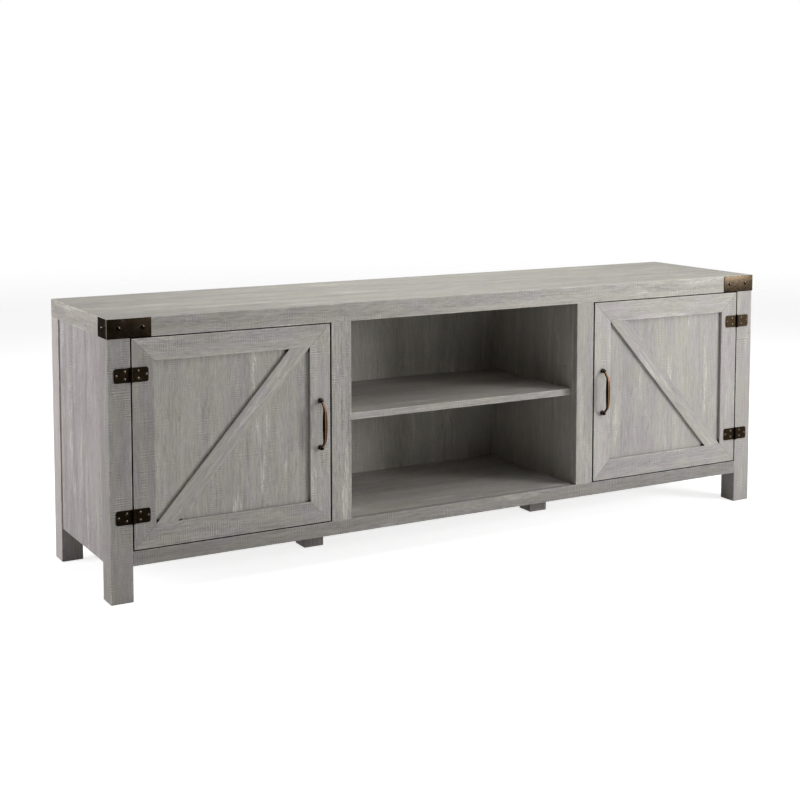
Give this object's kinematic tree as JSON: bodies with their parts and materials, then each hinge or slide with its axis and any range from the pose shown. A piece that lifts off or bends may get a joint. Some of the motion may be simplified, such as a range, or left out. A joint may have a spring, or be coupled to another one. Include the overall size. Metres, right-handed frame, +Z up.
{
  "type": "media cabinet with two doors",
  "caption": "Low farmhouse media cabinet: braced doors on surface hinges beside an open shelved bay, square posts, bronze pulls and corner brackets.",
  "frame": {"origin": "middle of the whole object's footprint, on the floor", "axes": "+X to the viewer's right, +Y from the doors to the back, +Z up"},
  "size_m": [1.7858, 0.431, 0.61],
  "materials": {
    "grey_laminate": "grey-washed wood-grain laminate with fine saw marks, matt",
    "panel_laminate": "grey-washed wood-grain laminate, upright grain, matt",
    "back_laminate": "thin fibreboard with a printed grey grain inside and plain board behind",
    "antique_bronze": "dark antique bronze, rubbed to copper on its edges",
    "zinc_steel": "bright zinc-plated steel",
    "beech": "fluted beech dowel",
    "catch_plastic": "moulded plastic, fine texture",
    "magnet": "ferrite and steel",
    "glide_nylon": "moulded nylon"
  },
  "bodies": {
    "cabinet": {"back_panel_centre": "back_laminate", "back_panel_left": "back_laminate", "back_panel_nails": "zinc_steel", "back_panel_right": "back_laminate", "back_top_rail": "grey_laminate", "bottom_board": "grey_laminate", "bottom_front_rail": "grey_laminate", "bracket_nails": "antique_bronze", "cabinet_shelf_left": "grey_laminate", "cabinet_shelf_right": "grey_laminate", "cabinet_wood_screws": "antique_bronze", "cam_bolts": "zinc_steel", "cam_locks": "zinc_steel", "catch_magnets": "magnet", "centre_shelf": "grey_laminate", "corner_bracket_left": "antique_bronze", "corner_bracket_right": "antique_bronze", "divider_left": "grey_laminate", "divider_right": "grey_laminate", "divider_screws": "zinc_steel", "divider_stile_left": "grey_laminate", "divider_stile_right": "grey_laminate", "foot_glides": "glide_nylon", "foot_hanger_bolts": "zinc_steel", "front_post_left": "grey_laminate", "front_post_right": "grey_laminate", "hinge_pins": "antique_bronze", "magnetic_catches": "catch_plastic", "middle_foot_left": "grey_laminate", "middle_foot_right": "grey_laminate", "post_hinge_leaves": "antique_bronze", "rear_post_left": "grey_laminate", "rear_post_right": "grey_laminate", "shelf_supports": "zinc_steel", "side_panel_left": "panel_laminate", "side_panel_right": "panel_laminate", "top_board": "grey_laminate", "wood_dowels": "beech"},
    "left_door": {"left_door_bottom_rail": "grey_laminate", "left_door_brace": "grey_laminate", "left_door_hinge_leaves": "antique_bronze", "left_door_hinge_stile": "grey_laminate", "left_door_latch_stile": "grey_laminate", "left_door_panel": "panel_laminate", "left_door_pull": "antique_bronze", "left_door_pull_screws": "zinc_steel", "left_door_strike_plate": "zinc_steel", "left_door_top_rail": "grey_laminate", "left_door_wood_screws": "antique_bronze"},
    "right_door": {"right_door_bottom_rail": "grey_laminate", "right_door_brace": "grey_laminate", "right_door_hinge_leaves": "antique_bronze", "right_door_hinge_stile": "grey_laminate", "right_door_latch_stile": "grey_laminate", "right_door_panel": "panel_laminate", "right_door_pull": "antique_bronze", "right_door_pull_screws": "zinc_steel", "right_door_strike_plate": "zinc_steel", "right_door_top_rail": "grey_laminate", "right_door_wood_screws": "antique_bronze"}
  },
  "joints": [
    {"name": "left_door_hinge", "type": "hinge", "parent": "cabinet", "child": "left_door", "pos_m": [-0.8375, -0.1909, 0.3375], "axis": [0, 0, -1], "range_deg": [0, 180]},
    {"name": "right_door_hinge", "type": "hinge", "parent": "cabinet", "child": "right_door", "pos_m": [0.8375, -0.1909, 0.3375], "axis": [0, 0, 1], "range_deg": [0, 180]}
  ]
}
